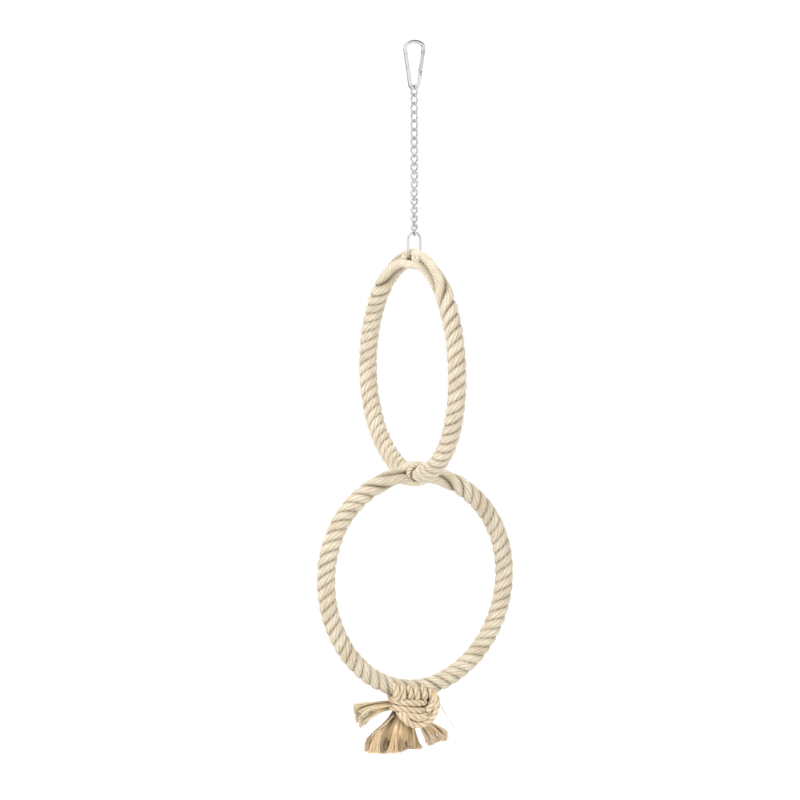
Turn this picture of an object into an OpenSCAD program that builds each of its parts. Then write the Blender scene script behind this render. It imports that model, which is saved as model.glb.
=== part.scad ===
/* [Hook] */
// Diameter of the wire that the hook is bent from
hook_wire = 3.2; // [2.9:0.1:3.6]
// Height of the hook outside, from crown to foot
hook_height = 40.3; // [38:0.1:46]
// Width of the hook outside, across its shoulders
hook_width = 19.8; // [18.5:0.1:22]
// Radius of the flat crown, at the wire's centre
crown_radius = 13; // [11:0.5:16]
// Radius of the two shoulders, at the wire's centre
shoulder_radius = 4.5; // [4:0.1:5.5]
// Radius of the foot that the chain hangs in, at the wire's centre
foot_radius = 4; // [3.6:0.1:4.6]

/* [Gate] */
// Depth of the gate's rivet below the inside of the crown
rivet_depth = 22.7; // [20:0.1:24]
// Diameter of the rivet that the gate turns on
rivet_size = 1.2; // [1:0.1:1.4]
// Thickness of the hook's flattened tang inside the gate
tang_thick = 1.2; // [0.9:0.1:1.3]
// Thickness of the hook's flattened nose inside the gate
nose_thick = 1.1; // [0.9:0.1:1.2]
// Diameter of the cross pin that the nose hooks over
latch_size = 0.9; // [0.7:0.1:1.1]
// Diameter of the bore that holds the gate's spring
spring_bore = 1.9; // [1.7:0.05:2.1]
// Diameter of the gate spring's wire
spring_wire = 0.3; // [0.2:0.05:0.35]
// Running clearance between the gate's parts
gate_gap = 0.2; // [0.15:0.01:0.3]

/* [Chain] */
// Diameter of the chain's wire
link_wire = 1.6; // [1.4:0.05:1.8]
// Side play of a link on the hook's wire
link_play = 0.4; // [0.3:0.05:0.9]
// Distance from one link to the next along the chain
link_pitch = 6.95; // [6.6:0.05:8]
// Slack between two linked wires
link_slack = 0.15; // [0.1:0.01:0.25]

/* [Connector link] */
// Diameter of the connector's wire
connector_wire = 2; // [1.6:0.1:2.2]
// Width of the connector outside
connector_width = 13; // [12:0.1:14]
// Length of the connector between the centres of its end wires
connector_length = 20.9; // [19:0.1:26]
// Angle that the connector leans each way in the rope
connector_lean = 12; // [8:1:16]

/* [Rope] */
// Diameter of the laid rope
rope_size = 15; // [14:0.5:17]
// Half the width of a rope ring, at the rope's centre
ring_half_width = 80; // [70:1:110]
// Half the height of a rope ring, at the rope's centre
ring_half_height = 86.5; // [78:0.5:120]
// How far the upper ring's middle bulges to its slack side
upper_bulge = 4.5; // [0:0.5:6]
// How far the lower ring's middle bulges to its slack side
lower_bulge = 1.5; // [0:0.5:6]
// Diameter of the upper rope where it is squeezed in the eye
neck_size = 10; // [9:0.1:11]
// Height of the lower rope where it opens round the neck
eye_height = 20; // [19.5:0.1:23]
// Thickness of the opened rope, seen from above
eye_thick = 12.4; // [11:0.1:14]
// Clearance between the neck and the eye, and round the connector
rope_gap = 0.3; // [0.2:0.05:0.4]

/* [Knot] */
// Diameter of the unlaid strands that are tied in the knot
strand_size = 5; // [4.4:0.1:5.4]
// Width of the knot's two bands outside
band_width = 35; // [32:0.5:38]
// Thickness of the knot's two bands outside, front to back
band_depth = 24; // [22:0.5:27]
// Drop of the middle tassel below the rope's centre
tassel_drop = 51; // [46:0.5:58]
// Width of the middle tassel at its foot
tassel_width = 46; // [38:1:52]
// Reach of the side tassel from the knot
side_reach = 29; // [24:0.5:34]
// Clearance between the pieces of the knot
knot_gap = 0.3; // [0.2:0.05:0.5]

/* [Hidden] */
link_count = 17;
link_names = [for (i = [1:link_count]) str("chain_link_", i < 10 ? "0" : "", i)];
rope_nodes = [
  "connector_link", "upper_rope_ring", "lower_rope_ring", "bottom_knot", "knot_loop", "knot_inner_loop",
  "tassel_left", "tassel_middle", "tassel_right"
];
$fn = 48;
overrun = 1;

// Hook: a crown arc, two shoulders, straight sides and a foot arc, all in the XZ plane.
// The origin is where the crown rests on what carries it.
crown_z = hook_wire / 2 - crown_radius;
shoulder_x = (hook_width - hook_wire) / 2 - shoulder_radius;
shoulder_z = crown_z + sqrt(pow(crown_radius - shoulder_radius, 2) - pow(shoulder_x, 2));
crown_half_angle = atan2(shoulder_x, shoulder_z - crown_z);
foot_z = hook_wire / 2 * 3 - hook_height + foot_radius;
shoulder_rise = shoulder_z - foot_z;
shoulder_span = norm([shoulder_x, shoulder_rise]);
side_lean = acos((foot_radius - shoulder_radius) / shoulder_span) - atan2(shoulder_rise, shoulder_x);
side_x = shoulder_x + shoulder_radius * cos(side_lean);
side_z = shoulder_z - shoulder_radius * sin(side_lean);
hook_sides = 16;
foot_steps = 10;
bend_steps = 5;

// Gate: its own Z runs up the hook's right side from the rivet.
rivet_z = -rivet_depth;
rivet_x = side_x - (side_z - rivet_z) * tan(side_lean);
gate_top = (side_z - rivet_z) / cos(side_lean) - gate_gap;
tang_radius = hook_wire / 2 - gate_gap / 2;
shoulder_drop = hook_wire / 2 + gate_gap;
slot_floor = tang_radius + gate_gap;
latch_drop = 1.9;
latch_z = gate_top - latch_drop;
nose_length = 3.6;
nose_width = 2.6;
nose_slot = nose_length + 3 * gate_gap;
notch_height = latch_size + 3 * gate_gap;
rivet_head = 0.35;
head_size = rivet_size * 1.5;
plunger_flange = 0.7;
plunger_nose = 1.1;
spring_turns = 7;
spring_length = 6.4;
spring_radius = (spring_bore - spring_wire) / 2 - gate_gap / 2;
plunger_radius = spring_bore / 2 - gate_gap / 2;
plunger_foot = slot_floor;
spring_foot = plunger_foot + plunger_flange + gate_gap / 2;
spring_stations = 8;
spring_sides = 6;

// Chain: each link is twisted so that its two ends lie square to its neighbours,
// and the twist is shared so that the last link ends in the same plane as the first begins.
link_width = hook_wire + link_play + 2 * link_wire;
link_radius = (link_width - link_wire) / 2;
link_length = link_pitch + link_wire + link_slack;
link_twist = 90 * (link_count + 1) / link_count;
link_stations = 20;
link_sides = 8;
foot_wire_z = foot_z - foot_radius;
first_link_z = foot_wire_z + hook_wire / 2 + link_wire / 2 + link_slack;
last_link_z = first_link_z - (link_count - 1) * link_pitch - link_length;
// Share of a link's height at each end that stays flat
flat_share = 0.22;

// Connector link
connector_top = last_link_z + link_wire / 2 + connector_wire / 2 + link_slack;
connector_radius = (connector_width - connector_wire) / 2;
connector_foot = connector_top - connector_length;

// Rope rings: the upper one lies in the YZ plane and the lower one in the XZ plane.
rope_radius = rope_size / 2;
upper_z = connector_foot - ring_half_height;
crossing_z = connector_foot - 2 * ring_half_height;
lower_z = crossing_z - ring_half_height;
lower_foot_z = lower_z - ring_half_height;
ring_stations = 56;
ring_sides = 12;
// Shares of the width by which a ring is wider below or above its middle
upper_egg_share = -0.045;
lower_egg_share = 0.04;
// Share of a full step by which the stations crowd together at the crossing
crowd_share = 0.6;
neck_spare = 1.2;
neck_half = eye_thick / 2 + neck_spare;
neck_taper = 15;
neck_sink = 0.6;
eye_half = 24;
eye_bore = neck_size + 2 * rope_gap;

// Knot: places are measured from the centre of the rope at the foot of the lower ring,
// and its strands clear that rope by knot_gap.
strand_radius = strand_size / 2;
strand_sides = 8;
strand_seat = rope_radius + strand_radius + knot_gap;
knot_x = -6;
band_turn = 610;
band_start = -45;
band_step = strand_size * 1.36;
band_steps = 32;
band_x = band_width / 2 - strand_radius;
band_y = band_depth / 2 - strand_radius;
band_top = -strand_seat * 0.77;
band_foot = band_top - band_step * band_turn / 360;
tuck_turn = 105;
tuck_steps = 12;
// Places of the tucked strands along the rope, as shares of the bands' width
tuck_shares = [-0.31, -0.13, 0.23, 0.43];
core_x = band_x - strand_radius / 2;
core_y = band_y - strand_radius / 2;
core_top = -rope_radius - knot_gap;
core_foot = band_foot - strand_radius;
tassel_top = core_foot - knot_gap;
tassel_neck = 4;
tassel_sides = 16;
flute_count = 4;
flute_share = 0.1;
side_fall = 5.6;
side_wide = 10.5;
side_deep = 6;
middle_deep = 7.5;
right_reach = 15;
right_drop = 22.5;
right_start = 10.5;
right_lift = 0.6;
loop_y = -strand_seat * 0.82;
outer_loop_x = 5.5;
outer_loop_z = -12;
outer_loop_wide = 17.5;
outer_loop_deep = 18.5;
outer_loop_steps = 14;
inner_loop_x = 4.4;
inner_loop_z = -11;
inner_loop_wide = 11.5;
inner_loop_deep = 11;
inner_loop_steps = 11;

// Eased step from 0 to 1
function ease(x) = x <= 0 ? 0 : x >= 1 ? 1 : x * x * (3 - 2 * x);
function mix(a, b, share) = a + (b - a) * share;
function unit(v) = v / norm(v);

// Tangent of a closed or open list of points at point i
function closed_tangent(p, i) = unit(p[(i + 1) % len(p)] - p[(i + len(p) - 1) % len(p)]);
function open_tangent(p, i) = unit(p[min(i + 1, len(p) - 1)] - p[max(i - 1, 0)]);

// One cross-section: an oval of half sizes a and b, square to the direction along
function section(centre, along, toward, a, b, sides) =
  let (side = unit(cross(along, toward)), up = cross(side, along))
  [for (j = [0:sides - 1]) centre + side * a * cos(360 * j / sides) + up * b * sin(360 * j / sides)];

// Triangles that join ring i to the next, round a loft of count rings
function wall_faces(i, next, sides) = [
  for (j = [0:sides - 1])
    let (k = (j + 1) % sides)
    each [
      [i * sides + j, next * sides + k, next * sides + j],
      [i * sides + j, i * sides + k, next * sides + k]
    ]
];

function flat_list(rings) = [for (r = rings) each r];
function middle(ring) = [for (c = [0:2]) [for (p = ring) p[c]] * [for (p = ring) 1 / len(ring)]];

module closed_loft(rings) {
  n = len(rings);
  sides = len(rings[0]);
  polyhedron(flat_list(rings), [for (i = [0:n - 1]) each wall_faces(i, (i + 1) % n, sides)], convexity = 6);
}

module open_loft(rings) {
  n = len(rings);
  sides = len(rings[0]);
  points = concat(flat_list(rings), [middle(rings[0]), middle(rings[n - 1])]);
  walls = [for (i = [0:n - 2]) each wall_faces(i, i + 1, sides)];
  foot = [for (j = [0:sides - 1]) [n * sides, (j + 1) % sides, j]];
  head = [for (j = [0:sides - 1]) [n * sides + 1, (n - 1) * sides + j, (n - 1) * sides + (j + 1) % sides]];
  polyhedron(points, concat(walls, foot, head), convexity = 6);
}

module cord(path, radius, toward, sides) {
  open_loft([
    for (i = [0:len(path) - 1]) section(path[i], open_tangent(path, i), toward, radius, radius, sides)
  ]);
}

// Wire bent to an arc in the XZ plane, from an angle above +X through a sweep
module bend(x, z, radius, wire, start, sweep) {
  translate([x, 0, z])
    rotate([90, 0, 0])
      rotate([0, 0, start])
        rotate_extrude(angle = sweep)
          translate([radius, 0])
            circle(d = wire);
}

// The gate's own frame, at the rivet
module at_rivet() {
  translate([rivet_x, 0, rivet_z])
    rotate([0, side_lean, 0])
      children();
}

module across(diameter, length) {
  rotate([90, 0, 0])
    cylinder(d = diameter, h = length, center = true);
}

// Flat plate in the gate's frame, drawn as an outline in X and Z
module plate(thick) {
  rotate([90, 0, 0])
    linear_extrude(height = thick, center = true)
      children();
}

module tang_outline() {
  circle(r = tang_radius);
  translate([-tang_radius, -shoulder_drop - overrun])
    square([2 * tang_radius, shoulder_drop + overrun]);
}

// The nose reaches down into the gate, with a notch that opens inwards for the cross pin
module nose_outline() {
  difference() {
    translate([-nose_width / 2, gate_top + gate_gap - nose_length])
      square([nose_width, nose_length + overrun]);
    translate([0, latch_z])
      circle(d = notch_height);
    translate([-nose_width, latch_z - notch_height / 2])
      square([nose_width, notch_height]);
  }
}

// Points on an arc in the XZ plane, from one angle above +X to another
function arc(x, z, radius, from, to, steps) = [
  for (i = [0:steps])
    let (a = mix(from, to, i / steps))
    [x + radius * cos(a), 0, z + radius * sin(a)]
];
// The wire's centre line, from below the rivet round the foot and over the crown to the nose
hook_path = concat(
  [[
    rivet_x - shoulder_drop * sin(side_lean), 0,
    rivet_z - shoulder_drop * cos(side_lean)
  ]],
  arc(0, foot_z, foot_radius, -side_lean, side_lean - 180, foot_steps),
  arc(-shoulder_x, shoulder_z, shoulder_radius, 180 + side_lean, 90 + crown_half_angle, bend_steps),
  arc(0, crown_z, crown_radius, 90 + crown_half_angle * 0.7, 90 - crown_half_angle * 0.7, bend_steps),
  arc(shoulder_x, shoulder_z, shoulder_radius, 90 - crown_half_angle, -side_lean, bend_steps)
);

module hook_body() {
  color("gainsboro") {
    cord(hook_path, hook_wire / 2, [0, 1, 0], hook_sides);
    at_rivet()
      difference() {
        plate(tang_thick)
          tang_outline();
        across(rivet_size + gate_gap, hook_wire);
      }
    at_rivet()
      plate(nose_thick)
        nose_outline();
  }
}

module hook_gate() {
  color("silver")
    at_rivet()
      difference() {
        union() {
          cylinder(d = hook_wire, h = gate_top);
          intersection() {
            translate([0, 0, -hook_wire])
              cylinder(d = hook_wire, h = 2 * hook_wire);
            across(hook_wire, 2 * hook_wire);
          }
        }
        translate([-hook_wire, -tang_thick / 2 - gate_gap, -hook_wire])
          cube([2 * hook_wire, tang_thick + 2 * gate_gap, hook_wire + slot_floor]);
        translate([-hook_wire, -nose_thick / 2 - gate_gap, gate_top - nose_slot])
          cube([2 * hook_wire, nose_thick + 2 * gate_gap, nose_slot + overrun]);
        translate([0, 0, slot_floor - overrun])
          cylinder(d = spring_bore, h = spring_foot - slot_floor + spring_length + gate_gap + overrun);
        across(rivet_size, 2 * hook_wire);
        translate([0, 0, latch_z])
          across(latch_size, 2 * hook_wire);
      }
}

// The rivet is set in the gate's ears and turns in the tang
module gate_rivet() {
  color("dimgray")
    at_rivet() {
      across(rivet_size, hook_wire);
      for (side = [-1, 1])
        translate([0, side * (hook_wire + rivet_head) / 2, 0])
          across(head_size, rivet_head);
    }
}

module gate_latch_pin() {
  color("dimgray")
    at_rivet()
      translate([0, 0, latch_z])
        across(latch_size, hook_wire - 2 * gate_gap);
}

module gate_plunger() {
  color("darkgray")
    at_rivet()
      translate([0, 0, plunger_foot]) {
        cylinder(r = plunger_radius, h = plunger_flange);
        cylinder(r = spring_radius - spring_wire, h = plunger_flange + plunger_nose);
      }
}

function spring_point(i) =
  let (turn = i / spring_stations, rise = spring_length - spring_wire)
  [
    spring_radius * cos(360 * turn),
    spring_radius * sin(360 * turn),
    spring_foot + spring_wire / 2 + rise * turn / spring_turns
  ];
spring_path = [for (i = [0:spring_stations * spring_turns]) spring_point(i)];

module gate_spring() {
  color("lightgray")
    at_rivet()
      cord(spring_path, spring_wire / 2, [0, 0, 1], spring_sides);
}

// Centre line of a link: a long loop whose plane turns between its two flat ends.
// Station u runs from 0 to 360, from the middle of the top end and back.
function link_turn(rise) = link_twist * (0.5 - ease((rise / link_length + 0.5 - flat_share) / (1 - 2 * flat_share)));
function turned(p, angle) = [p.x * cos(angle) - p.y * sin(angle), p.x * sin(angle) + p.y * cos(angle), p.z];
function link_flat(u) =
  let (straight = link_length / 2 - link_radius, s = sin(u), c = cos(u))
  [link_radius * s, 0, link_radius * c + straight * (c > 0 ? 1 : -1) * ease(abs(c) * 3)];
function link_point(u) = let (p = link_flat(u)) turned(p, link_turn(p.z));
function link_normal(u) = turned([0, 1, 0], link_turn(link_flat(u).z));
link_path = [for (i = [0:link_stations - 1]) link_point(360 * (i + 0.5) / link_stations)];
link_rings = [
  for (i = [0:link_stations - 1])
    section(
      link_path[i], closed_tangent(link_path, i), link_normal(360 * (i + 0.5) / link_stations),
      link_wire / 2, link_wire / 2, link_sides
    )
];
function link_azimuth(i) = 90 + link_twist / 2 + i * (link_twist - 90);

module chain_link(i) {
  color("silver")
    translate([0, 0, first_link_z - i * link_pitch - link_length / 2])
      rotate([0, 0, link_azimuth(i)])
        closed_loft(link_rings);
}

module connector_link() {
  color("silver") {
    bend(0, connector_top - connector_radius, connector_radius, connector_wire, 0, 180);
    bend(0, connector_foot + connector_radius, connector_radius, connector_wire, 180, 180);
    for (side = [-1, 1])
      translate([side * connector_radius, 0, connector_foot + connector_radius])
        cylinder(d = connector_wire, h = connector_length - 2 * connector_radius);
  }
}

// Centre line of a rope ring as [out, up] from its middle, at an angle from its top
function ring_point(t, egg_share, bulge) = [
  ring_half_width * sin(t) * (1 + egg_share * cos(t)) + bulge * pow(sin(t), 2),
  ring_half_height * cos(t)
];
// Angle of station i, with the stations crowded towards the top or the foot
function ring_angle(i, crowd) =
  let (u = 360 * i / ring_stations)
  u + crowd * sin(u) * 180 / PI;

function upper_point(i) =
  let (p = ring_point(ring_angle(i, crowd_share), upper_egg_share, upper_bulge))
  [0, p[0], upper_z + p[1]];
function upper_radius(p) =
  p.z > upper_z ? rope_radius
  : mix(neck_size / 2 - neck_sink, rope_radius, ease((abs(p.y) - neck_half) / neck_taper));
upper_path = [for (i = [0:ring_stations - 1]) upper_point(i)];

function lower_point(i) =
  let (p = ring_point(ring_angle(i, -crowd_share), lower_egg_share, lower_bulge))
  [p[0], 0, lower_z + p[1]];
function eye_share(p) = p.z < lower_z ? 0 : 1 - ease(abs(p.x) / eye_half);
lower_path = [for (i = [0:ring_stations - 1]) lower_point(i)];

// Slot that the connector's wire swings in: its outline seen from the front and from the side
module connector_band() {
  reach = rope_size;
  outer = connector_radius + connector_wire / 2 + rope_gap;
  inner = connector_radius - connector_wire / 2 - rope_gap;
  difference() {
    union() {
      circle(r = outer);
      translate([-outer, 0])
        square([2 * outer, reach]);
    }
    circle(r = inner);
    translate([-inner, 0])
      square([2 * inner, reach + overrun]);
  }
}

module connector_wedge() {
  half = connector_wire / 2 + rope_gap;
  reach = rope_size;
  polygon([
    [-half, -2 * half],
    [half, -2 * half],
    [half, 0],
    [half + reach * tan(connector_lean), reach],
    [-half - reach * tan(connector_lean), reach],
    [-half, 0]
  ]);
}

module connector_slot() {
  translate([0, 0, connector_foot])
    intersection() {
      translate([0, 0, connector_radius])
        rotate([90, 0, 0])
          linear_extrude(height = 2 * rope_size, center = true)
            connector_band();
      rotate([90, 0, 90])
        linear_extrude(height = 2 * rope_size, center = true)
          connector_wedge();
    }
}

module upper_rope_ring() {
  color("wheat") {
    difference() {
      closed_loft([
        for (i = [0:ring_stations - 1])
          let (r = upper_radius(upper_path[i]))
          section(upper_path[i], closed_tangent(upper_path, i), [1, 0, 0], r, r, ring_sides)
      ]);
      connector_slot();
    }
    translate([0, 0, crossing_z])
      across(neck_size, 2 * neck_half);
  }
}

module lower_rope_ring() {
  color("wheat")
    difference() {
      closed_loft([
        for (i = [0:ring_stations - 1])
          let (p = lower_path[i], share = eye_share(p))
          section(
            p, closed_tangent(lower_path, i), [0, 1, 0],
            mix(rope_radius, eye_height / 2, share), mix(rope_radius, eye_thick / 2, share), ring_sides
          )
      ]);
      translate([0, 0, crossing_z])
        across(eye_bore, 2 * rope_size);
    }
}

// Height of the lower rope's centre above the foot of its ring, at a distance from the middle
function foot_rise(x) =
  let (t = asin(min(abs(x) / ring_half_width, 1)))
  ring_half_height * (1 - cos(t));

// Strand that comes out of the rope, passes under it and goes back in behind
function tuck_radius(share) = strand_radius * (0.35 + 0.65 * ease(3 * min(share, 1 - share)));
function tuck_point(x, share) =
  let (a = 270 + tuck_turn * (2 * share - 1), r = rope_radius + knot_gap + tuck_radius(share))
  [knot_x + x, r * cos(a), foot_rise(knot_x + x) + r * sin(a)];
function tuck_rings(x) =
  let (path = [for (i = [0:tuck_steps]) tuck_point(x, i / tuck_steps)])
  [
    for (i = [0:tuck_steps])
      let (r = tuck_radius(i / tuck_steps))
      section(path[i], open_tangent(path, i), [1, 0, 0], r, r, strand_sides)
  ];
band_path = [
  for (i = [0:band_steps])
    let (turn = band_turn * i / band_steps)
    [knot_x + band_x * cos(band_start - turn), band_y * sin(band_start - turn), band_top - band_step * turn / 360]
];
core_rings = [
  for (share = [0, 0.25, 0.5, 0.75, 1])
    let (bulge = sqrt(1 - pow(share - 0.5, 2) * 2))
    section(
      [knot_x, 0, mix(core_top, core_foot, share)], [0, 0, -1], [0, 1, 0],
      core_x * bulge, core_y * bulge, tassel_sides
    )
];

module at_knot() {
  translate([0, 0, lower_foot_z])
    children();
}

module bottom_knot() {
  color("burlywood")
    at_knot() {
      open_loft(core_rings);
      cord(band_path, strand_radius, [0, 0, 1], strand_sides);
      for (share = tuck_shares)
        open_loft(tuck_rings(share * band_width));
    }
}

// Strand that hangs in an oval loop in front of the knot's right side
function loop_path(x, z, wide, deep, from, to, steps) = [
  for (i = [0:steps])
    let (a = mix(from, to, i / steps))
    [x + wide * cos(a), loop_y, z + deep * sin(a)]
];
outer_loop_path = loop_path(
  outer_loop_x, outer_loop_z, outer_loop_wide, outer_loop_deep, 28, -150, outer_loop_steps
);
inner_loop_path = loop_path(
  inner_loop_x, inner_loop_z, inner_loop_wide, inner_loop_deep, 34, -110, inner_loop_steps
);

module knot_loop() {
  color("burlywood")
    at_knot()
      cord(outer_loop_path, strand_radius, [0, 1, 0], strand_sides);
}

module knot_inner_loop() {
  color("burlywood")
    at_knot()
      cord(inner_loop_path, strand_radius, [0, 1, 0], strand_sides);
}

// Frayed end: a fluted fan that widens from its neck
function fan_ring(centre, along, wide, deep) =
  let (side = unit(cross(along, [0, 1, 0])), up = cross(side, along))
  [
    for (j = [0:tassel_sides - 1])
      let (a = 360 * j / tassel_sides, swell = 1 + flute_share * cos(flute_count * a))
      centre + side * wide * swell * cos(a) + up * deep * swell * sin(a)
  ];

// Rows of a fan's table: how far it goes sideways, forwards and down, and its half width and half depth,
// each as a share of the sizes given with it
module fan(start, side_step, front_step, down_step, wide, deep, table) {
  path = [for (row = table) start + [side_step * row[0], -front_step * row[1], -down_step * row[2]]];
  open_loft([
    for (i = [0:len(path) - 1])
      fan_ring(path[i], open_tangent(path, i), wide * table[i][3], deep * table[i][4])
  ]);
}

left_shares = [
  [0, 0, 0, 0.38, 0.67],
  [0.3, 0.33, 0.21, 0.52, 0.75],
  [0.65, 0.67, 0.57, 0.81, 0.92],
  [0.95, 1, 0.93, 1, 1],
  [1, 1, 1, 0.76, 0.67]
];
middle_shares = [
  [0, 0, 0, 0.18, 0.53],
  [0.37, 0, 0.28, 0.42, 0.73],
  [0.75, 0.5, 0.59, 0.69, 0.87],
  [1, 1, 0.79, 1, 1],
  [1, 1, 0.95, 0.75, 0.8],
  [1, 1, 1, 0.42, 0.4]
];
right_shares = [
  [0, 0, 0, 0.35, 0.67],
  [0.4, 0, 0.31, 0.52, 0.83],
  [0.87, 0, 0.67, 0.83, 0.92],
  [1, 0, 0.93, 1, 1],
  [1, 0, 1, 0.78, 0.67]
];

module tassel_left() {
  color("tan")
    at_knot()
      fan(
        [knot_x - band_width / 2 - knot_gap, 0, band_top - tassel_neck],
        -side_reach, side_fall / 2, side_fall, side_wide, side_deep, left_shares
      );
}

module tassel_middle() {
  color("tan")
    at_knot()
      fan(
        [knot_x - 2 * tassel_neck, 0, tassel_top],
        -tassel_neck, tassel_neck / 2, tassel_drop + tassel_top, tassel_width * 0.48, middle_deep, middle_shares
      );
}

module tassel_right() {
  color("tan")
    at_knot()
      fan(
        [knot_x + right_start, 0, tassel_top + right_lift],
        right_reach, 0, right_drop, side_wide * 1.1, side_deep, right_shares
      );
}

// Least gap between the turns of a coil, measured between points at least a half turn apart
function coil_gap(path, apart, wire) =
  min([for (i = [0:len(path) - 1 - apart]) for (j = [i + apart:len(path) - 1]) norm(path[i] - path[j])]) - wire;
echo(spring_gap = coil_gap(spring_path, spring_stations * 3 / 4, spring_wire));
echo(band_gap = coil_gap(band_path, band_steps / 4, strand_size));

hook_body();
hook_gate();
gate_rivet();
gate_latch_pin();
gate_plunger();
gate_spring();
for (i = [0:link_count - 1])
  chain_link(i);
connector_link();
upper_rope_ring();
lower_rope_ring();
bottom_knot();
knot_loop();
knot_inner_loop();
tassel_left();
tassel_middle();
tassel_right();
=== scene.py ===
import random
from math import acos, atan2, cos, hypot, pi, radians, sin, sqrt, tan

import bmesh
import bpy
import numpy as np
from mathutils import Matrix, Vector


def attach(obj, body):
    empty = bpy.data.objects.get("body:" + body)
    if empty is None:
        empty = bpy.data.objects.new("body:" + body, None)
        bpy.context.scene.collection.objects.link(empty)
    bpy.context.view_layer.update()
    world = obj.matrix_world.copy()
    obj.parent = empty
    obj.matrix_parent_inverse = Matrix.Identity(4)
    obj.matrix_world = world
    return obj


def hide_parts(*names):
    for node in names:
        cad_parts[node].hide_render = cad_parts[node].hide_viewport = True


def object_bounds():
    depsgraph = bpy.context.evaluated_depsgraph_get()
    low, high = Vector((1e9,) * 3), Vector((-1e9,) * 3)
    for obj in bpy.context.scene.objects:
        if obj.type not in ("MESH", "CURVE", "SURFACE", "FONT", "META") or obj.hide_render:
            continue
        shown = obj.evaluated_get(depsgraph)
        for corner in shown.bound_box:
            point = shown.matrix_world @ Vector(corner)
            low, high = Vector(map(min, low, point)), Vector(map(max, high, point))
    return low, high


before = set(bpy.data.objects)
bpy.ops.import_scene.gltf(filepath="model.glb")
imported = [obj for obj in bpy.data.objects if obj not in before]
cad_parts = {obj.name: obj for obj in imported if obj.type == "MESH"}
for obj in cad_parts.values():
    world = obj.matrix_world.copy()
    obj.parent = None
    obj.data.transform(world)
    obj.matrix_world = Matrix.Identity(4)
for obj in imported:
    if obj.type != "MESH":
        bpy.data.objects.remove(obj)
cad_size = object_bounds()
mm = 0.001

# Studio: the perch hangs in front of a plain white sweep of light, seen from a little above
# and 26 degrees round from the front, as in a catalogue picture. The floor lies well below it.
view_turn = radians(-26.4)
view_rise = radians(4.7)
view_distance = 4000 * mm
pixel = 0.8015 * mm
frame_pixels = 800
film_width = 36
hang_offset = 14.2 * pixel
look_at = Vector((0, 0, -285 * mm))
aside = Vector((cos(view_turn), sin(view_turn), 0))
back = Vector((sin(view_turn) * cos(view_rise), -cos(view_turn) * cos(view_rise), sin(view_rise)))

camera = bpy.data.objects.new("camera", bpy.data.cameras.new("camera"))
camera.data.sensor_width = film_width
camera.data.lens = film_width * view_distance / (frame_pixels * pixel)
camera.data.clip_end = 50
camera.location = look_at + back * view_distance - aside * hang_offset
camera.rotation_euler = back.to_track_quat("Z", "Y").to_euler()
bpy.context.collection.objects.link(camera)
bpy.context.scene.camera = camera
bpy.context.scene.view_settings.view_transform = "Standard"


def softbox(name, azimuth, height, away, size, power):
    """A square light that faces the perch, at an azimuth counted as the camera's is."""
    light = bpy.data.objects.new(name, bpy.data.lights.new(name, "AREA"))
    light.data.size = size
    light.data.energy = power
    turn = radians(azimuth)
    toward = Vector((sin(turn), -cos(turn), height)).normalized()
    light.location = look_at + toward * away
    light.rotation_euler = toward.to_track_quat("Z", "Y").to_euler()
    light.visible_glossy = False
    bpy.context.collection.objects.link(light)


softbox("key_light", azimuth=-70, height=0.7, away=2.2, size=1.2, power=34)
softbox("fill_light", azimuth=35, height=0.35, away=2.6, size=1.6, power=14)
softbox("back_light", azimuth=160, height=0.9, away=2.4, size=1.2, power=14)

studio = bpy.data.worlds.new("studio")
bpy.context.scene.world = studio
studio.use_nodes = True
nodes, links = studio.node_tree.nodes, studio.node_tree.links
plain = nodes["Background"]
plain.inputs["Color"].default_value = (1, 1, 1, 1)
plain.inputs["Strength"].default_value = 1.1
mirrored = nodes.new("ShaderNodeBackground")
bands = nodes.new("ShaderNodeValToRGB")
bands.color_ramp.elements[0].color = (1, 1, 1, 1)
bands.color_ramp.elements[0].position = 0.68
bands.color_ramp.elements[1].color = (0.1, 0.1, 0.105, 1)
bands.color_ramp.elements[1].position = 0.9
mirrored.inputs["Strength"].default_value = 1.1
direction = nodes.new("ShaderNodeTexCoord")
slant = nodes.new("ShaderNodeVectorMath")
slant.operation = "DOT_PRODUCT"
slant.inputs[1].default_value = (aside + Vector((0, 0, 1))).normalized()
both_ways = nodes.new("ShaderNodeMath")
both_ways.operation = "ABSOLUTE"
ray = nodes.new("ShaderNodeLightPath")
either = nodes.new("ShaderNodeMixShader")
links.new(direction.outputs["Generated"], slant.inputs[0])
links.new(slant.outputs["Value"], both_ways.inputs[0])
links.new(both_ways.outputs[0], bands.inputs[0])
links.new(bands.outputs[0], mirrored.inputs["Color"])
links.new(ray.outputs["Is Glossy Ray"], either.inputs[0])
links.new(plain.outputs[0], either.inputs[1])
links.new(mirrored.outputs[0], either.inputs[2])
links.new(either.outputs[0], nodes["World Output"].inputs["Surface"])

floor_drop = 330 * mm
floor_radius = 30
floor_mesh = bmesh.new()
bmesh.ops.create_circle(floor_mesh, cap_ends=True, segments=96, radius=floor_radius)
bmesh.ops.translate(floor_mesh, verts=floor_mesh.verts, vec=(0, 0, cad_size[0].z - floor_drop))
floor_data = bpy.data.meshes.new("floor")
floor_mesh.to_mesh(floor_data)
floor_mesh.free()
floor = bpy.data.objects.new("floor", floor_data)
bpy.context.collection.objects.link(floor)
pale = bpy.data.materials.new("pale_floor")
pale.use_nodes = True
pale.node_tree.nodes["Principled BSDF"].inputs["Base Color"].default_value = (0.93, 0.93, 0.925, 1)
pale.node_tree.nodes["Principled BSDF"].inputs["Roughness"].default_value = 0.9
floor_data.materials.append(pale)
floor.visible_glossy = False


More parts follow.
